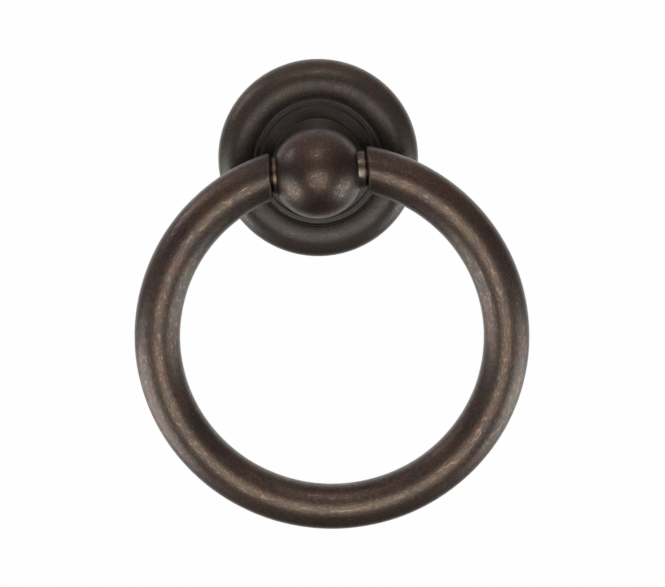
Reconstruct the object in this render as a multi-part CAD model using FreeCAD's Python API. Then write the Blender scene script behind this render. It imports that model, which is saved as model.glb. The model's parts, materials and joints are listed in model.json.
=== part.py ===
import FreeCAD, Part
import math
import os

# A ring pull handle for a cabinet door or a drawer front.
# All sizes are in millimetres. The origin is the centre of the back plate's rear face.
# +Z is up, +X is to the right, and +Y points into the door, so the handle stands out along -Y.

# Ring: a round bar bent to a circle, with its two end faces either side of the ball
ring_outer_diameter = 76.0
rod_diameter = 8.8
ring_end_rounding = 0.4
ring_shift = 0.35               # how far the ring has slid to the right within its side play

# Ball and post
ball_diameter = 17.5
ball_standoff = 2.95            # from the plate's seat to the ball's nearest point, inside the neck
flat_land = 0.25                # width of each side flat, from the axle's bore to the ball's surface
flat_edge_chamfer = 0.1
neck_diameter = 9.6
neck_foot_width = 0.5           # how far the neck flares at its foot
neck_foot_height = 0.6
neck_foot_rounding = 0.3
collar_diameter = 17.6
collar_edge_height = 0.9        # of its upright edge, below its conical face
collar_face_rise = 1.7          # from that edge up to the foot of the neck
collar_back_rounding = 0.2
collar_front_rounding = 0.5
collar_inner_rounding = 0.4
shank_diameter = 10.0

# Pivot axle, between the ring's end faces
side_gap = 1.47                 # mean gap between a flat of the ball and the ring's end face
axle_diameter = 7.4
axle_running_clearance = 0.05   # on the radius
undercut_width = 0.35           # of the turned groove beside each end of the ring
undercut_diameter = 6.5
spigot_diameter = 4.4
spigot_length = 4.0
spigot_tip_chamfer = 0.3
spigot_hole_extra_depth = 0.4

# Back plate, a turned disc with a broad crowned bead, two small stepped rings and a shallow hollow inside it
plate_diameter = 38.9
widest_height = 2.95            # level of the plate's widest point above the door
foot_radius = 3.55              # of its edge below that level
rim_radius = 4.1                # of its edge above that level
rim_turn = 50.0                 # degrees, where the rim runs over into the crown
crest_diameter = 30.4           # across the highest line of the crown
crown_inner_radius = 6.5        # of the crown's slope down to the groove
lip_diameter = 25.96            # where that slope ends
groove_level = 6.45
groove_width = 0.26             # from the lip in to the bottom of the groove
groove_rounding = 0.12
outer_ring_flank = 0.42
outer_ring_rise = 0.60
outer_ring_rounding = 0.6
outer_ring_width = 1.05
outer_ring_dip = 0.15           # how far its face falls towards the crease
crease_rounding = 0.4
inner_ring_flank = 0.35
inner_ring_rise = 0.40
inner_ring_rounding = 0.35
hollow_width = 1.3              # from the inner ring's edge to the middle of its slope down to the seat
hollow_depth = 0.1
hollow_rounding = 16.0
relief_outer_diameter = 31.0
relief_inner_diameter = 15.0
relief_depth = 0.7

# Tapped hole for the mounting screw, at its M4 tapping size
tapping_diameter = 3.3
tapped_depth = 12.0
tapped_mouth_chamfer = 0.4
drill_point_angle = 118.0

outer_ring_level = groove_level + outer_ring_rise
crease_level = outer_ring_level - outer_ring_dip
inner_ring_level = crease_level + inner_ring_rise
seat_height = inner_ring_level - hollow_depth
pivot_height = seat_height + ball_standoff + ball_diameter / 2
ring_radius = (ring_outer_diameter - rod_diameter) / 2
axle_bore_diameter = axle_diameter + 2 * axle_running_clearance
flat_distance = math.sqrt((ball_diameter / 2)**2 - (axle_bore_diameter / 2 + flat_land)**2)
end_distance = flat_distance + side_gap
ring_drop = math.sqrt(ring_radius**2 - end_distance**2)

origin = FreeCAD.Vector(0, 0, 0)
right = FreeCAD.Vector(1, 0, 0)
into_door = FreeCAD.Vector(0, 1, 0)
pivot = FreeCAD.Vector(0, -pivot_height, 0)
ring_middle = pivot + right * ring_shift


def at(radius, height):
    """A point of a turned profile: its distance from the axis and its height above the door."""
    return FreeCAD.Vector(radius, -height, 0)


def line(start, end):
    return Part.makeLine(start, end)


def arc(start, middle, end):
    return Part.Arc(start, middle, end).toShape()


def on_circle(centre, radius, degrees):
    """A point of a circle in a profile. Zero degrees points outwards and 90 away from the door."""
    turn = math.radians(degrees)
    return centre + FreeCAD.Vector(radius * math.cos(turn), -radius * math.sin(turn), 0)


def rounded_path(corners):
    """Lines from corner to corner. Each corner is a point and the radius of its rounding, or 0 where it is sharp."""
    edges = []
    start = corners[0][0]
    for (before, _), (corner, rounding), (after, _) in zip(corners, corners[1:], corners[2:]):
        if rounding == 0:
            edges.append(line(start, corner))
            start = corner
            continue
        back = (before - corner).normalize()
        ahead = (after - corner).normalize()
        half_angle = back.getAngle(ahead) / 2
        reach = rounding / math.tan(half_angle)
        inward = (back + ahead).normalize()
        middle = corner + inward * (rounding / math.sin(half_angle) - rounding)
        edges.append(line(start, corner + back * reach))
        start = corner + ahead * reach
        edges.append(arc(corner + back * reach, middle, start))
    edges.append(line(start, corners[-1][0]))
    return edges


def turned(edges):
    """The solid that a closed profile sweeps round the plate's axis."""
    face = Part.Face(Part.Wire(edges))
    return face.revolve(origin, into_door, 360)


def back_plate():
    plate_radius = plate_diameter / 2
    crest_radius = crest_diameter / 2
    lip_radius = lip_diameter / 2
    foot_centre = at(plate_radius - foot_radius, widest_height)
    foot_turn = -math.degrees(math.asin(widest_height / foot_radius))
    foot = on_circle(foot_centre, foot_radius, foot_turn)
    rim_centre = at(plate_radius - rim_radius, widest_height)
    rim_end = on_circle(rim_centre, rim_radius, rim_turn)
    crown_radius = (rim_end.x - crest_radius) / math.cos(math.radians(rim_turn))
    crown_centre = on_circle(rim_end, crown_radius, rim_turn + 180)
    crest = on_circle(crown_centre, crown_radius, 90)
    slope_centre = on_circle(crest, crown_inner_radius, -90)
    lip_turn = math.degrees(math.acos((lip_radius - crest_radius) / crown_inner_radius))
    lip = on_circle(slope_centre, crown_inner_radius, lip_turn)
    crown = [
        arc(foot, on_circle(foot_centre, foot_radius, foot_turn / 2), at(plate_radius, widest_height)),
        arc(at(plate_radius, widest_height), on_circle(rim_centre, rim_radius, rim_turn / 2), rim_end),
        arc(rim_end, on_circle(crown_centre, crown_radius, (rim_turn + 90) / 2), crest),
        arc(crest, on_circle(slope_centre, crown_inner_radius, (90 + lip_turn) / 2), lip),
    ]
    groove = lip_radius - groove_width
    outer_ring = groove - outer_ring_flank
    crease = outer_ring - outer_ring_width
    inner_ring = crease - inner_ring_flank
    bore = shank_diameter / 2
    relief_outer = relief_outer_diameter / 2
    relief_inner = relief_inner_diameter / 2
    rings_and_back = rounded_path([
        (lip, 0),
        (at(groove, groove_level), groove_rounding),
        (at(outer_ring, outer_ring_level), outer_ring_rounding),
        (at(crease, crease_level), crease_rounding),
        (at(inner_ring, inner_ring_level), inner_ring_rounding),
        (at(inner_ring - hollow_width, seat_height), hollow_rounding),
        (at(bore, seat_height), 0),
        (at(bore, 0), 0),
        (at(relief_inner, 0), 0),
        (at(relief_inner, relief_depth), 0),
        (at(relief_outer, relief_depth), 0),
        (at(relief_outer, 0), 0),
        (foot, 0),
    ])
    return turned(crown + rings_and_back)


def tapped_hole():
    """The hole from the door side, with a chamfered mouth and a drill point."""
    radius = tapping_diameter / 2
    mouth = radius + tapped_mouth_chamfer
    tip = tapped_depth + radius / math.tan(math.radians(drill_point_angle / 2))
    return turned([
        line(at(0, 0), at(mouth, 0)),
        line(at(mouth, 0), at(radius, tapped_mouth_chamfer)),
        line(at(radius, tapped_mouth_chamfer), at(radius, tapped_depth)),
        line(at(radius, tapped_depth), at(0, tip)),
        line(at(0, tip), at(0, 0)),
    ])


def edges_on_plane_x(shape, distance):
    """The edges of a shape that lie in the plane x = distance."""
    found = []
    for edge in shape.Edges:
        places = [vertex.X for vertex in edge.Vertexes] + [edge.CenterOfMass.x]
        if all(abs(place - distance) < 1e-4 for place in places):
            found.append(edge)
    return found


def ball_with_flats():
    """The ball, cut flat with a light chamfer where the ring's ends face it."""
    ball = Part.makeSphere(ball_diameter / 2, pivot)
    between = Part.makeBox(2 * flat_distance, 2 * ball_diameter, 2 * ball_diameter)
    between.translate(pivot - FreeCAD.Vector(flat_distance, ball_diameter, ball_diameter))
    cut_ball = ball.common(between)
    edges = edges_on_plane_x(cut_ball, flat_distance) + edges_on_plane_x(cut_ball, -flat_distance)
    return cut_ball.makeChamfer(flat_edge_chamfer, edges)


def ball_post():
    shank = shank_diameter / 2
    collar = collar_diameter / 2
    neck = neck_diameter / 2
    collar_edge = seat_height + collar_edge_height
    neck_foot = collar_edge + collar_face_rise
    stem = turned(rounded_path([
        (at(0, 0), 0),
        (at(shank, 0), 0),
        (at(shank, seat_height), 0),
        (at(collar, seat_height), collar_back_rounding),
        (at(collar, collar_edge), collar_front_rounding),
        (at(neck + neck_foot_width, neck_foot), collar_inner_rounding),
        (at(neck, neck_foot + neck_foot_height), neck_foot_rounding),
        (at(neck, pivot_height), 0),
        (at(0, pivot_height), 0),
        (at(0, 0), 0),
    ]))
    post = stem.fuse(ball_with_flats()).removeSplitter()
    bore = Part.makeCylinder(axle_bore_diameter / 2, ball_diameter, pivot - right * ball_diameter / 2, right)
    return post.cut(bore).cut(tapped_hole())


def ring():
    """A bent round bar whose ends are cut square to the pivot axis, rounded and drilled for the spigots."""
    centre = ring_middle - FreeCAD.Vector(0, 0, ring_drop)
    whole = Part.makeTorus(ring_radius, rod_diameter / 2, centre, into_door)
    gap = Part.makeBox(2 * end_distance, 2 * rod_diameter, 2 * rod_diameter)
    gap.translate(ring_middle - FreeCAD.Vector(end_distance, rod_diameter, rod_diameter))
    bar = whole.cut(gap)
    faces = [ring_shift - end_distance, ring_shift + end_distance]
    bar = bar.makeFillet(ring_end_rounding, edges_on_plane_x(bar, faces[0]) + edges_on_plane_x(bar, faces[1]))
    depth = spigot_length + spigot_hole_extra_depth
    drilled = 2 * (end_distance + depth)
    holes = Part.makeCylinder(spigot_diameter / 2, drilled, ring_middle - right * drilled / 2, right)
    return bar.cut(holes)


def pivot_axle():
    """A shaft that runs in the ball, with an undercut and a thinner spigot at each end for the ring."""
    def across(distance, radius):
        return FreeCAD.Vector(ring_shift + distance, -pivot_height, radius)

    journal = axle_diameter / 2
    undercut = undercut_diameter / 2
    spigot = spigot_diameter / 2
    tip = end_distance + spigot_length
    half = [
        (0, journal),
        (end_distance - undercut_width, journal),
        (end_distance - undercut_width, undercut),
        (end_distance, undercut),
        (end_distance, spigot),
        (tip - spigot_tip_chamfer, spigot),
        (tip, spigot - spigot_tip_chamfer),
        (tip, 0),
    ]
    other_half = [(-distance, radius) for distance, radius in reversed(half[1:])]
    points = [across(distance, radius) for distance, radius in half]
    points += [across(distance, radius) for distance, radius in other_half]
    profile = Part.Face(Part.makePolygon(points + points[:1]))
    return profile.revolve(ring_middle, right, 360)


def main():
    os.makedirs("parts", exist_ok=True)
    parts = {
        "back_plate": back_plate(),
        "ball_post": ball_post(),
        "pivot_axle": pivot_axle(),
        "ring": ring(),
    }
    for name, shape in parts.items():
        solid = shape.Solids[0]
        print(name, "solids", len(shape.Solids), "valid", solid.isValid(), "volume", round(solid.Volume, 1))
        solid.exportStep(os.path.join("parts", name + ".step"))


main()
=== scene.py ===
import json
import math

import bpy
from mathutils import Matrix, Vector


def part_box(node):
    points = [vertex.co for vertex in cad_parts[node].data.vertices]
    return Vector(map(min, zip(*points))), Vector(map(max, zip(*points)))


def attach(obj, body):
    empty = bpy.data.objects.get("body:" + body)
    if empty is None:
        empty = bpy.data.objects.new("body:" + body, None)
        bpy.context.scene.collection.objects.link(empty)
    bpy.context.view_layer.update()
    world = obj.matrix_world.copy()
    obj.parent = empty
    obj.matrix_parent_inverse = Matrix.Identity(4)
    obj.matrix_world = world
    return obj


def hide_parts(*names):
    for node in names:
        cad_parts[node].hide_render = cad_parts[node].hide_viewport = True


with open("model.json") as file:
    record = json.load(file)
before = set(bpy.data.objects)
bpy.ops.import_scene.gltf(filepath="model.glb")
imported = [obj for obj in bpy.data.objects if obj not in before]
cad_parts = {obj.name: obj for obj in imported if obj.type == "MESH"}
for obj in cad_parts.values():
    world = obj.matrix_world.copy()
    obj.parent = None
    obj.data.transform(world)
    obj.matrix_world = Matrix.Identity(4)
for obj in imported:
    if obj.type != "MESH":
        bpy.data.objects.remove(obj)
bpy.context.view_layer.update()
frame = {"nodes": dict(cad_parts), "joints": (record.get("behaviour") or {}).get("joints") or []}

# The handle's own sizes, in metres, read from the frame where it gives them.
# +X is right, +Z is up, and the handle stands out of the door along -Y.
MM = 0.001
ring_low, ring_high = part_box("ring")
pivot = Vector(frame["joints"][0]["pos_m"])
bar_radius = (ring_high.y - ring_low.y) / 2
bend_radius = 33.6 * MM         # of the bar's middle line
ring_centre = Vector(((ring_low.x + ring_high.x) / 2, pivot.y, ring_low.z + bend_radius + bar_radius))
# Each of the ring's end faces is this far from its middle, to the left or right, at the pivot's height
end_distance = math.sqrt(bend_radius**2 - (pivot.z - ring_centre.z)**2)
end_rounding = 0.4 * MM
ball_flat = 7.78 * MM           # from the post's axis to the flat on each side of the ball
spigot_hole_radius = 2.2 * MM
spigot_hole_depth = 4.4 * MM

# Edges sharper than this are shaded as edges
sharp_edge = math.radians(40)

# The hand-bent ring's waviness
wave_height = 0.035 * MM
wave_length = 9.0 * MM
wave_seed = 3

# The mounting screw's thread, M4 x 0.7. Its flat crest and its foot are shares of the pitch.
tapped_radius = 1.65 * MM
thread_pitch = 0.7 * MM
thread_start = 0.45 * MM
thread_length = 11.2 * MM
thread_ridge = 0.17 * MM
thread_sunk = 0.02 * MM
thread_crest = 0.06
thread_foot = 0.44
thread_fade = 0.04

# Radii on the turned back plate, in millimetres, where its finish and its painted shade change
collar_edge = 8.8
crease = 11.25
groove = 12.72
lip = 13.1
crown_shoulder = 16.6

# Places along Y, in millimetres: the foot of the neck behind the ball, and the plate's widest point
neck_foot = -9.9
plate_edge = -3.0

# The camera, at the photograph's angle. Its focal length is in pixels of the photograph's frame.
image_width = 665
focal_length_in_pixels = 4000
camera_distance = 0.7872
camera_elevation = math.radians(12.11)
camera_azimuth = math.radians(1.04)
camera_roll = math.radians(-4.3)
look_at = Vector((0.75, 0.0, -27.75)) * MM
sensor_width = 36.0
farthest_seen = 20.0

# The studio: its floor, and how strongly it shines from the front, the back and the sky
floor_level = -0.6
floor_size = 12.0
front_level = 0.04
back_level = 1.1
sky_level = 0.22
pale = (0.99, 0.99, 0.99, 1.0)
warm_shade = (1.28, 1.0, 0.98, 1.0)
cool_wall = (0.92, 1.0, 1.0, 1.0)

# Colours of the metal and of its patina
# Soot, which also serves as painted shade in the plate's groove, crease, collar corner and crown slope, and
# behind the ball
soot_and_shade_tone = (0.048, 0.050, 0.048, 1.0)
# Grime, which also paints the shade where the axle meets the ball and the ring's ends
grime_and_shade_tone = (0.030, 0.026, 0.022, 1.0)
# Dust, which also paints light on the plate's lower inner slope and on the upper half of the collar behind
# the ball
dust_and_light_tone = (0.205, 0.178, 0.160, 1.0)
deep_brown = (0.124, 0.094, 0.087, 1.0)
brown = (0.160, 0.123, 0.093, 1.0)
russet = (0.175, 0.100, 0.082, 1.0)
golden = (0.330, 0.245, 0.175, 1.0)
tarnished_brass = (0.200, 0.140, 0.098, 1.0)
bright_brass = (0.300, 0.300, 0.285, 1.0)

# How fine each layer of the patina is, in marks per millimetre
cloud_scale = 0.13
dull_scale = 0.22
patch_scale = 0.30
mottle_scale = 0.6
speck_scale = 2.6
grain_scale = 5.5
speck_height = 0.08 * MM

# How a scratch is drawn out: marks per millimetre along the bar and across it
short_scratch = (0.35, 4.5, 4.5)
long_scratch = (0.12, 3.5, 3.5)


def view_axes():
    """The camera's right, up and backward directions."""
    flat = math.cos(camera_elevation)
    forward_x = -math.sin(camera_azimuth) * flat
    forward_y = math.cos(camera_azimuth) * flat
    forward = Vector((forward_x, forward_y, -math.sin(camera_elevation)))
    right = forward.cross(Vector((0, 0, 1))).normalized()
    up = right.cross(forward)
    turned_right = right * math.cos(camera_roll) + up * math.sin(camera_roll)
    turned_up = up * math.cos(camera_roll) - right * math.sin(camera_roll)
    return turned_right, turned_up, -forward


def placed(x_axis, y_axis, z_axis, origin):
    """The matrix that turns an object to these axes and puts it at the origin given."""
    matrix = Matrix((x_axis, y_axis, z_axis)).transposed().to_4x4()
    matrix.translation = origin
    return matrix


def linked(name, data):
    """A new object in the scene, with this data."""
    thing = bpy.data.objects.new(name, data)
    bpy.context.scene.collection.objects.link(thing)
    return thing


def make_camera():
    data = bpy.data.cameras.new("camera")
    data.sensor_width = sensor_width
    data.lens = sensor_width * focal_length_in_pixels / image_width
    data.clip_end = farthest_seen
    camera = linked("camera", data)
    right, up, back = view_axes()
    camera.matrix_world = placed(right, up, back, look_at + back * camera_distance)
    bpy.context.scene.camera = camera


def soft_light(name, off_axis, toward, distance, width, height, radiance, tint):
    """An area light that faces the handle. It lies off_axis degrees from the camera's own axis,
    towards the clock direction toward, where 0 is the image's right and 90 its top."""
    right, up, back = view_axes()
    tilt = math.radians(off_axis)
    clock = math.radians(toward)
    sideways = right * math.cos(clock) + up * math.sin(clock)
    direction = sideways * math.sin(tilt) + back * math.cos(tilt)
    area = math.pi * width * height / 4
    data = bpy.data.lights.new(name, "AREA")
    data.shape = "ELLIPSE"
    data.size = width
    data.size_y = height
    data.energy = radiance * math.pi * area
    data.color = tint
    light = linked(name, data)
    light.matrix_world = direction.to_track_quat("Z", "Y").to_matrix().to_4x4()
    light.location = look_at + direction * distance
    light.visible_camera = False


def make_lights():
    """A broad light in front and below, one at each side, and two small ones above."""
    soft_light("front_light", off_axis=19, toward=-84, distance=0.75, width=0.58, height=0.50,
               radiance=1.95, tint=(1.03, 1.0, 0.90))
    soft_light("left_light", off_axis=91, toward=-149, distance=0.60, width=0.80, height=0.44,
               radiance=2.05, tint=(0.89, 1.0, 1.03))
    soft_light("right_light", off_axis=91, toward=-28, distance=0.60, width=0.80, height=0.44,
               radiance=1.85, tint=(0.88, 1.0, 1.0))
    soft_light("upper_left_light", off_axis=88, toward=146, distance=0.60, width=0.20, height=0.20,
               radiance=2.3, tint=(0.95, 1.0, 1.06))
    soft_light("top_light", off_axis=46, toward=90, distance=0.60, width=0.15, height=0.15,
               radiance=2.5, tint=(1.05, 1.0, 0.88))


class Nodes:
    """Adds nodes to one tree and joins them."""

    def __init__(self, tree):
        self.tree = tree

    def pick(self, sockets, name):
        """The socket of that name, or of that number, among those that the node has in use."""
        if name.isdigit():
            return sockets[int(name)]
        return next(socket for socket in sockets if socket.name == name and socket.enabled)

    def feed(self, node, name, value):
        """Joins an output to that input, or sets the input's own value."""
        socket = self.pick(node.inputs, name)
        if isinstance(value, bpy.types.NodeSocket):
            self.tree.links.new(value, socket)
        else:
            socket.default_value = value

    def node(self, kind, settings=None, **inputs):
        made = self.tree.nodes.new(kind)
        for name, value in (settings or {}).items():
            setattr(made, name, value)
        for name, value in inputs.items():
            self.feed(made, name.replace("_", " "), value)
        return made

    def numbered(self, kind, settings, values):
        """The first output of a node whose first inputs take these values in turn."""
        made = self.node(kind, settings)
        for index, value in enumerate(values):
            self.feed(made, str(index), value)
        return made.outputs[0]

    def math(self, operation, *values):
        return self.numbered("ShaderNodeMath", {"operation": operation}, values)

    def chain(self, operation, values):
        whole = values[0]
        for value in values[1:]:
            whole = self.math(operation, whole, value)
        return whole

    def total(self, *values):
        return self.chain("ADD", values)

    def product(self, *values):
        return self.chain("MULTIPLY", values)

    def highest(self, *values):
        return self.chain("MAXIMUM", values)

    def less(self, value, taken):
        return self.math("SUBTRACT", value, taken)

    def vector_math(self, operation, *values):
        return self.numbered("ShaderNodeVectorMath", {"operation": operation}, values)

    def times(self, vector, factors):
        """The vector with each of its parts multiplied by its own factor."""
        return self.vector_math("MULTIPLY", vector, factors)

    def scaled(self, vector, factor):
        made = self.node("ShaderNodeVectorMath", {"operation": "SCALE"}, Scale=factor)
        self.feed(made, "0", vector)
        return made.outputs[0]

    def split(self, vector):
        made = self.node("ShaderNodeSeparateXYZ")
        self.feed(made, "0", vector)
        return made.outputs[0], made.outputs[1], made.outputs[2]

    def join(self, x, y, z):
        return self.numbered("ShaderNodeCombineXYZ", None, (x, y, z))

    def noise(self, vector, scale, detail=2.0, roughness=0.5):
        made = self.node("ShaderNodeTexNoise", Vector=vector, Scale=scale, Detail=detail, Roughness=roughness)
        return self.pick(made.outputs, "Fac")

    def ramp(self, value, low, high, low_out=0.0, high_out=1.0, kind="SMOOTHSTEP"):
        """A step from low_out to high_out while value goes from low to high."""
        made = self.node("ShaderNodeMapRange", {"interpolation_type": kind}, Value=value,
                         From_Min=low, From_Max=high, To_Min=low_out, To_Max=high_out)
        return made.outputs[0]

    def straight(self, value, low, high, low_out=0.0, high_out=1.0):
        return self.ramp(value, low, high, low_out, high_out, "LINEAR")

    def band(self, value, middle, half_width):
        """1 at the middle, falling smoothly to 0 half_width away on either side."""
        away = self.math("ABSOLUTE", self.less(value, middle))
        return self.ramp(away, 0.0, half_width, 1.0, 0.0)

    def mix(self, share, first, second):
        made = self.node("ShaderNodeMix", {"data_type": "RGBA"})
        self.feed(made, "0", share)
        self.feed(made, "6", first)
        self.feed(made, "7", second)
        return made.outputs[2]


def make_world():
    """Pale where the camera looks. What the metal reflects is dark in front and below, with a paler sky
    and back."""
    world = bpy.data.worlds.new("studio")
    world.use_nodes = True
    bpy.context.scene.world = world
    world.node_tree.nodes.clear()
    nodes = Nodes(world.node_tree)
    direction = nodes.node("ShaderNodeTexCoord").outputs["Generated"]
    _, depth, height = nodes.split(direction)
    sky = nodes.ramp(height, 0.3, 0.95, 0.0, sky_level)
    over_ground = nodes.ramp(height, -0.95, -0.6, 0.3, 1.0)
    under_sky = nodes.ramp(height, -0.15, 0.3, 1.0, 0.85)
    toward_back = nodes.ramp(depth, 0.35, 1.0, 0.0, back_level)
    behind = nodes.product(toward_back, nodes.product(over_ground, under_sky))
    level = nodes.total(nodes.highest(sky, behind), front_level)
    tint = nodes.mix(nodes.ramp(level, front_level, 0.6), warm_shade, cool_wall)
    surroundings = nodes.node("ShaderNodeBackground", Color=tint, Strength=level)
    seen = nodes.node("ShaderNodeBackground", Color=pale, Strength=1.0)
    choice = nodes.node("ShaderNodeMixShader")
    nodes.feed(choice, "0", nodes.node("ShaderNodeLightPath").outputs["Is Camera Ray"])
    nodes.feed(choice, "1", surroundings.outputs[0])
    nodes.feed(choice, "2", seen.outputs[0])
    nodes.node("ShaderNodeOutputWorld", Surface=choice.outputs[0])


def new_material(name):
    """An empty material, with the helper that fills it."""
    material = bpy.data.materials.new(name)
    material.use_nodes = True
    material.node_tree.nodes.clear()
    return material, Nodes(material.node_tree)


def make_floor():
    half = floor_size / 2
    turns = ((-half, -half), (half, -half), (half, half), (-half, half))
    mesh = bpy.data.meshes.new("floor")
    mesh.from_pydata([(x, y, floor_level) for x, y in turns], [], [(0, 1, 2, 3)])
    floor = linked("floor", mesh)
    material, nodes = new_material("pale_floor")
    glow = nodes.node("ShaderNodeEmission", Color=pale, Strength=1.0)
    nodes.node("ShaderNodeOutputMaterial", Surface=glow.outputs[0])
    mesh.materials.append(material)
    floor.visible_glossy = False
    floor.visible_diffuse = False
    floor.visible_shadow = False


def millimetres(nodes, place=None):
    """A place in millimetres: the object coordinates, or the given vector."""
    place = place or nodes.node("ShaderNodeTexCoord").outputs["Object"]
    return nodes.times(place, (1 / MM, 1 / MM, 1 / MM))


def from_ring_middle(nodes, x):
    """How far to the left or right of the ring's middle a place lies, in millimetres."""
    return nodes.math("ABSOLUTE", nodes.less(x, ring_centre.x / MM))


def bronze(name, tint, roughness, wear, marks):
    """Dark antique bronze: a satin brown patina, mottled and grainy, rubbed in fine specks that are warmer
    and smoother. marks(nodes, place) adds what this piece alone has: how much more it is rubbed, how much
    dust and soot lie on it, where that dust also paints light and that soot also paints shade, and the place
    by which its grain runs."""
    material, nodes = new_material(name)
    place = millimetres(nodes)
    rubbed_more, dust_and_painted_light, soot_and_painted_shade, grain_place = marks(nodes, place)
    cloud = nodes.noise(place, cloud_scale, 3.0, 0.5)
    patch = nodes.noise(place, patch_scale, 3.0, 0.55)
    mottle = nodes.noise(place, mottle_scale, 4.0, 0.6)
    speck = nodes.noise(grain_place, speck_scale, 3.0, 0.6)
    grain = nodes.noise(grain_place, grain_scale, 2.0, 0.6)

    # The film of patina, from its darkest brown to the dust on top of it, which in places also paints light
    film = nodes.mix(nodes.ramp(cloud, 0.35, 0.65), deep_brown, brown)
    film = nodes.mix(nodes.product(nodes.ramp(patch, 0.46, 0.62), 0.7), film, russet)
    film = nodes.mix(dust_and_painted_light, film, dust_and_light_tone)

    # Rubbed specks let the golden metal through, and soot, which in corners and hollows also paints shade,
    # lies over all
    worn_patch = nodes.ramp(mottle, 0.35, 0.65, 0.3, 1.0)
    specks = nodes.product(worn_patch, nodes.ramp(speck, 0.46, 0.64), wear)
    rubbed = nodes.math("MINIMUM", nodes.total(specks, rubbed_more), 1.0)
    colour = nodes.mix(rubbed, film, golden)
    colour = nodes.mix(soot_and_painted_shade, colour, soot_and_shade_tone)
    colour = nodes.times(colour, tint)
    colour = nodes.scaled(colour, nodes.ramp(grain, 0.3, 0.7, 0.8, 1.2))

    worn_rough = nodes.ramp(rubbed, 0.0, 1.0, roughness + 0.03, roughness - 0.17)
    rough = nodes.total(worn_rough, nodes.ramp(grain, 0.3, 0.7, -0.04, 0.04))
    bump = nodes.node("ShaderNodeBump", Strength=0.5, Distance=speck_height, Height=speck)
    shader = nodes.node("ShaderNodeBsdfPrincipled", Metallic=0.85, Coat_Weight=0.3, Coat_Roughness=0.35)
    nodes.feed(shader, "Base Color", colour)
    nodes.feed(shader, "Roughness", rough)
    nodes.feed(shader, "Normal", bump.outputs[0])
    nodes.node("ShaderNodeOutputMaterial", Surface=shader.outputs[0])
    return material


def ring_marks(nodes, place):
    """Fine scratches along the bar, in the straightened bar's own coordinates, and duller ends beside
    the ball."""
    stored = nodes.node("ShaderNodeAttribute", {"attribute_name": "bar_place"})
    bar_place = millimetres(nodes, stored.outputs["Vector"])
    short_streaks = nodes.noise(nodes.times(bar_place, short_scratch), 1.0)
    long_streaks = nodes.noise(nodes.times(bar_place, long_scratch), 1.0)
    short_scratches = nodes.product(nodes.ramp(short_streaks, 0.62, 0.70), 0.35)
    long_scratches = nodes.product(nodes.ramp(long_streaks, 0.66, 0.72), 0.5)
    scratches = nodes.total(short_scratches, long_scratches)
    across, _, height = nodes.split(place)
    past_end = nodes.less(from_ring_middle(nodes, across), end_distance / MM)
    dull_end = nodes.product(nodes.ramp(past_end, 0.5, 6.0, 0.42, 0.0), nodes.ramp(height, -9.0, -6.0))
    return scratches, 0.0, dull_end, nodes.times(bar_place, (0.5, 1.0, 1.0))


def ball_marks(nodes, place):
    """Unrubbed soot and painted shade on the neck's foot and its collar, heavier on the lower half that the
    ball and the ring's ends shade, with dust that also paints their upper half lighter, and a few dull
    patches on the ball."""
    _, depth, height = nodes.split(place)
    behind_ball = nodes.ramp(depth, neck_foot - 1.0, neck_foot)
    unrubbed = nodes.product(behind_ball, -0.6)
    # Dust on the upper half, which also paints that half lighter
    dust_and_painted_light = nodes.product(behind_ball, nodes.ramp(height, -4.0, 4.0, 0.0, 0.7))
    # Soot and painted shade behind the ball, heavier on the lower half where the ball and the ring's ends
    # shade the collar
    corner = nodes.product(behind_ball, nodes.ramp(height, -4.0, 4.0, 1.0, 0.5))
    dull = nodes.product(nodes.ramp(nodes.noise(place, dull_scale), 0.45, 0.68), 0.3)
    return unrubbed, dust_and_painted_light, nodes.highest(corner, dull), place


def plate_marks(nodes, place):
    """Soot in the recessed rings; soot and painted shade in the groove and the crease; painted shade in the
    corner under the collar and on the crown up to its shoulder; dust and painted light on the crown's lower
    inner slope; and a rubbed slope beyond the shoulder."""
    x, depth, height = nodes.split(place)
    radius = nodes.math("SQRT", nodes.total(nodes.product(x, x), nodes.product(height, height)))
    on_front = nodes.ramp(depth, plate_edge - 1.0, plate_edge + 1.0, 1.0, 0.0)

    # Dust on the crown's lower inner slope, which also paints light where that slope faces up
    low_down = nodes.ramp(height, -7.0, -12.0, 0.0, 0.58)
    short_of_edge = nodes.ramp(radius, 15.5, 18.5, 1.0, 0.3)
    dust_and_painted_light = nodes.product(low_down, short_of_edge, nodes.ramp(radius, lip, lip + 0.9))

    recess = nodes.product(nodes.ramp(radius, lip - 0.3, lip + 0.2, 1.0, 0.0), 0.52)
    # Soot and painted shade in the groove and the crease, narrow hollows that lie in shade
    seams = nodes.highest(nodes.band(radius, groove, 0.3), nodes.band(radius, crease, 0.25))
    # Painted shade in the corner under the collar's edge
    collar_seat = nodes.product(nodes.band(radius, collar_edge, 0.5), 0.5)
    # Painted shade on the crown's inner slope, up to its shoulder
    inner_slope = nodes.ramp(radius, crown_shoulder - 0.6, crown_shoulder + 0.6, 0.3, 0.0)
    soot_and_painted_shade = nodes.highest(recess, inner_slope, nodes.product(seams, 0.6), collar_seat)

    outer_slope = nodes.ramp(radius, crown_shoulder - 0.2, crown_shoulder + 1.0, 0.0, 0.28)
    return outer_slope, nodes.product(dust_and_painted_light, on_front), nodes.product(soot_and_painted_shade, on_front), place


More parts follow.
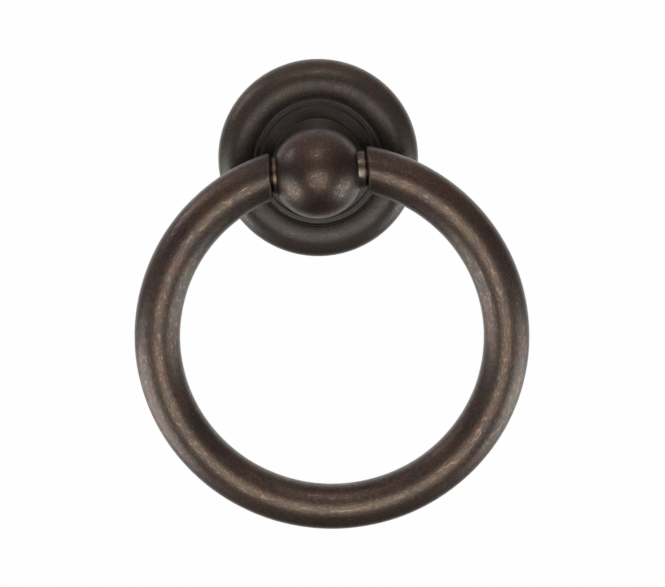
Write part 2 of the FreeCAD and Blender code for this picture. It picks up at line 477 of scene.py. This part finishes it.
def bare_brass():
    """The axle's bare metal: brighter on the right, mottled with tarnish, and black with grime and painted
    shade beside the ball and in the undercuts beside the ring's ends."""
    material, nodes = new_material("worn_axle")
    place = millimetres(nodes)
    x, _, _ = nodes.split(place)
    turned_place = nodes.times(place, (2.0, 1.0, 1.0))
    blotch = nodes.noise(turned_place, 0.9, 4.0, 0.6)
    fleck = nodes.noise(turned_place, 2.2, 3.0, 0.6)
    flecked = nodes.ramp(fleck, 0.35, 0.6, 0.5, 1.0)
    to_right = nodes.ramp(x, -8.0, 8.0, 0.55, 1.0)
    bright = nodes.product(nodes.ramp(blotch, 0.35, 0.62), flecked, to_right)
    from_ball = nodes.less(nodes.math("ABSOLUTE", x), ball_flat / MM)
    from_ring = nodes.less(end_distance / MM, from_ring_middle(nodes, x))
    # Grime and painted shade where the axle meets the ball's flats and enters the ring's ends
    clean = nodes.math("MINIMUM", nodes.ramp(from_ball, 0.02, 0.16), nodes.ramp(from_ring, 0.36, 0.56))
    metal = nodes.mix(bright, tarnished_brass, bright_brass)
    shader = nodes.node("ShaderNodeBsdfPrincipled", Metallic=1.0)
    nodes.feed(shader, "Base Color", nodes.mix(clean, grime_and_shade_tone, metal))
    nodes.feed(shader, "Roughness", nodes.ramp(blotch, 0.3, 0.7, 0.42, 0.30))
    nodes.node("ShaderNodeOutputMaterial", Surface=shader.outputs[0])
    return material


def new_growth(name, sizes):
    """A geometry node tree with these named inputs. Gives the tree, its helper, and the inputs' sockets
    by name."""
    tree = bpy.data.node_groups.new(name, "GeometryNodeTree")
    kinds = {float: "NodeSocketFloat", int: "NodeSocketInt", Vector: "NodeSocketVector"}
    for label, value in sizes.items():
        tree.interface.new_socket(label, in_out="INPUT", socket_type=kinds[type(value)])
    tree.interface.new_socket("Material", in_out="INPUT", socket_type="NodeSocketMaterial")
    tree.interface.new_socket("Geometry", in_out="OUTPUT", socket_type="NodeSocketGeometry")
    nodes = Nodes(tree)
    given = {socket.name: socket for socket in nodes.node("NodeGroupInput").outputs}
    return tree, nodes, given


def flat_grid(nodes, points_along, points_around):
    """A grid of points, with how far along it and how far around it each point lies, from 0 to 1."""
    grid = nodes.node("GeometryNodeMeshGrid", Size_X=1.0, Size_Y=1.0,
                      Vertices_X=points_along, Vertices_Y=points_around)
    x, y, _ = nodes.split(nodes.node("GeometryNodeInputPosition").outputs[0])
    return grid.outputs[0], nodes.total(x, 0.5), nodes.total(y, 0.5)


def stored(nodes, geometry, kind, label, value):
    """The geometry with this value kept on its points, under that label."""
    keeper = nodes.node("GeometryNodeStoreNamedAttribute", {"data_type": kind, "domain": "POINT"},
                        Geometry=geometry, Name=label, Value=value)
    return keeper.outputs[0]


def end_growth(nodes, mesh, material):
    """The tree's last nodes: real geometry with its material."""
    whole = nodes.node("GeometryNodeRealizeInstances", Geometry=mesh)
    dressed = nodes.node("GeometryNodeSetMaterial", Geometry=whole.outputs[0], Material=material)
    nodes.node("NodeGroupOutput", Geometry=dressed.outputs[0])


def grown(name, tree, sizes, material):
    """The plain mesh that a geometry node tree makes from these sizes."""
    piece = linked(name, bpy.data.meshes.new(name))
    modifier = piece.modifiers.new(name, "NODES")
    modifier.node_group = tree
    labels = {item.name: item.identifier for item in tree.interface.items_tree if item.in_out == "INPUT"}
    for label, value in {**sizes, "Material": material}.items():
        modifier[labels[label]] = value
    graph = bpy.context.evaluated_depsgraph_get()
    finished = piece.evaluated_get(graph)
    mesh = bpy.data.meshes.new_from_object(finished, preserve_all_data_layers=True, depsgraph=graph)
    piece.modifiers.remove(modifier)
    piece.data = mesh
    mesh.set_sharp_from_angle(angle=sharp_edge)
    return piece


def bent_bar(sizes):
    """A round bar bent to a circle. Its end faces are square to X, rounded, and have a blind hole each.
    Rows of points run from the bottom of one hole, out over that end, along the bar and into the other
    hole."""
    tree, nodes, given = new_growth("bent_bar", sizes)
    bend, bar = given["Bend Radius"], given["Bar Radius"]
    rounding, hole = given["End Rounding"], given["Hole Radius"]
    grid, along, around = flat_grid(nodes, given["Rows"], given["Points Around"])
    last_row = nodes.less(given["Rows"], 1.0)
    row = nodes.product(along, last_row)
    turn = nodes.product(around, math.tau)
    wide, deep = nodes.math("COSINE", turn), nodes.math("SINE", turn)

    # Each end has four stages: hole bottom, hole wall, end face and rounded edge
    end_rows = nodes.product(given["Rows per Stage"], 4.0)
    from_nearer_end = nodes.math("MINIMUM", row, nodes.less(last_row, row))
    stage = nodes.math("DIVIDE", from_nearer_end, given["Rows per Stage"])
    over_bottom = nodes.straight(stage, 0.0, 1.0, 0.0, hole)
    down_hole = nodes.straight(stage, 1.0, 2.0, given["Hole Depth"], 0.0)
    past_hole = nodes.straight(stage, 2.0, 3.0)
    face_width = nodes.less(nodes.less(bar, rounding), hole)
    over_face = nodes.product(past_hole, face_width)
    edge_turn = nodes.straight(stage, 3.0, 4.0, 0.0, math.pi / 2)
    over_edge = nodes.product(rounding, nodes.math("SINE", edge_turn))
    past_edge = nodes.product(rounding, nodes.less(1.0, nodes.math("COSINE", edge_turn)))
    reach = nodes.total(over_bottom, over_face, over_edge)
    distance = nodes.total(given["End Distance"], down_hole, past_edge)

    # A point lies on a circle round the ring's centre, and its own end distance says where that circle
    # ends. The hole runs straight along X, at the height of the pivot.
    fibre = nodes.total(bend, nodes.product(reach, wide))
    end_turn = nodes.math("ARCSINE", nodes.math("DIVIDE", distance, fibre))
    share = nodes.straight(row, end_rows, nodes.less(last_row, end_rows))
    whole_turn = nodes.less(math.tau, nodes.product(end_turn, 2.0))
    angle = nodes.total(end_turn, nodes.product(whole_turn, share))
    on_bar = nodes.product(fibre, nodes.math("COSINE", angle))
    end_distance_squared = nodes.math("POWER", given["End Distance"], 2.0)
    pivot_height = nodes.math("SQRT", nodes.less(nodes.product(bend, bend), end_distance_squared))
    in_hole = nodes.total(pivot_height, nodes.product(reach, wide))
    height = nodes.total(nodes.product(on_bar, past_hole), nodes.product(in_hole, nodes.less(1.0, past_hole)))
    place = nodes.join(nodes.product(fibre, nodes.math("SINE", angle)), nodes.product(reach, deep), height)
    place = nodes.vector_math("ADD", place, given["Centre"])

    # The straightened bar's coordinates, which its scratches follow, and how freely it may wander from
    # true. Both are stored before the points move, because they are worked out from the flat grid.
    bar_place = nodes.join(nodes.product(bend, angle), nodes.product(reach, wide), nodes.product(reach, deep))
    marked = stored(nodes, grid, "FLOAT_VECTOR", "bar_place", bar_place)
    marked = stored(nodes, marked, "FLOAT", "freedom", nodes.ramp(stage, 4.5, 9.0))
    shaped = nodes.node("GeometryNodeSetPosition", Geometry=marked, Position=place)
    closed = nodes.node("GeometryNodeMergeByDistance", Geometry=shaped.outputs[0], Distance=0.01 * MM)

    # The hand-bent bar's waviness, along its normals and none near its ends
    free = nodes.node("GeometryNodeInputNamedAttribute", {"data_type": "FLOAT"}, Name="freedom")
    seed_shift = nodes.join(given["Seed"], 0.0, 0.0)
    bent_place = nodes.node("GeometryNodeInputPosition").outputs[0]
    wander_place = nodes.vector_math("ADD", bent_place, seed_shift)
    wander = nodes.noise(wander_place, nodes.math("DIVIDE", 1.0, given["Wave Length"]), 1.0, 0.4)
    freedom = nodes.pick(free.outputs, "Attribute")
    amount = nodes.product(nodes.less(wander, 0.5), 2.0, given["Wave Height"], freedom)
    outward = nodes.scaled(nodes.node("GeometryNodeInputNormal").outputs[0], amount)
    waved = nodes.node("GeometryNodeSetPosition", Geometry=closed.outputs[0], Offset=outward)
    smooth = nodes.node("GeometryNodeSetShadeSmooth", Geometry=waved.outputs[0])
    end_growth(nodes, smooth.outputs[0], given["Material"])
    return tree


def thread(sizes):
    """A right-handed ridge that winds down the mounting hole, fading out at both ends. Its section has
    four corners: two at the crest and two at the foot."""
    tree, nodes, given = new_growth("thread", sizes)
    pitch = given["Pitch"]
    corners = 4
    turns = nodes.math("DIVIDE", given["Length"], pitch)
    rows = nodes.math("ROUND", nodes.product(turns, given["Steps per Turn"]))
    grid, along, around = flat_grid(nodes, rows, corners + 1)
    corner = nodes.math("MODULO", nodes.math("ROUND", nodes.product(around, corners)), corners)
    off_crest = nodes.less(corner, 1.5)
    spread = nodes.math("ABSOLUTE", off_crest)
    fade_in = nodes.straight(along, 0.0, thread_fade)
    fade_out = nodes.straight(along, 1.0 - thread_fade, 1.0, 1.0, 0.0)
    fade = nodes.math("MINIMUM", fade_in, fade_out)
    ridge = nodes.product(nodes.straight(spread, 0.5, 1.5, 1.0, 0.0), given["Ridge Height"])
    radius = nodes.less(given["Wall Radius"], nodes.product(nodes.less(ridge, thread_sunk), fade))
    half_width = nodes.product(nodes.straight(spread, 0.5, 1.5, thread_crest, thread_foot), pitch, fade)
    sideways = nodes.product(nodes.math("SIGN", off_crest), half_width)
    depth = nodes.total(given["Start"], nodes.product(along, given["Length"]))
    angle = nodes.math("DIVIDE", nodes.product(depth, -math.tau), pitch)
    x = nodes.product(radius, nodes.math("SINE", angle))
    z = nodes.product(radius, nodes.math("COSINE", angle))
    place = nodes.join(x, nodes.less(sideways, depth), z)
    wound = nodes.node("GeometryNodeSetPosition", Geometry=grid, Position=place)
    closed = nodes.node("GeometryNodeMergeByDistance", Geometry=wound.outputs[0], Distance=0.001 * MM)
    end_growth(nodes, closed.outputs[0], given["Material"])
    return tree


def make_ring(material):
    sizes = {
        "Centre": ring_centre,
        "Bend Radius": bend_radius,
        "Bar Radius": bar_radius,
        "End Distance": end_distance,
        "End Rounding": end_rounding,
        "Hole Radius": spigot_hole_radius,
        "Hole Depth": spigot_hole_depth,
        "Rows": 380,
        "Rows per Stage": 4,
        "Points Around": 81,
        "Wave Height": wave_height,
        "Wave Length": wave_length,
        "Seed": wave_seed,
    }
    ring = grown("bent_ring", bent_bar(sizes), sizes, material)
    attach(ring, "pull")
    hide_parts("ring")


def make_thread(material):
    sizes = {
        "Wall Radius": tapped_radius,
        "Ridge Height": thread_ridge,
        "Pitch": thread_pitch,
        "Start": thread_start,
        "Length": thread_length,
        "Steps per Turn": 36,
    }
    ridge = grown("screw_thread", thread(sizes), sizes, material)
    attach(ridge, "base")


def dress(node, material):
    """Gives a solid of the frame its material."""
    mesh = frame["nodes"][node].data
    mesh.materials.clear()
    mesh.materials.append(material)


make_camera()
make_lights()
make_world()
make_floor()
bpy.context.scene.view_settings.view_transform = "Standard"

brass = bare_brass()
ring_bronze = bronze("ring_bronze", tint=(1.065, 1.065, 1.115), roughness=0.40, wear=0.6,
                     marks=ring_marks)
ball_bronze = bronze("ball_bronze", tint=(0.92, 0.885, 0.92), roughness=0.38, wear=0.8,
                     marks=ball_marks)
plate_bronze = bronze("plate_bronze", tint=(0.765, 0.815, 0.91), roughness=0.47, wear=0.5,
                      marks=plate_marks)
make_ring(ring_bronze)
make_thread(brass)
dress("ball_post", ball_bronze)
dress("back_plate", plate_bronze)
dress("pivot_axle", brass)
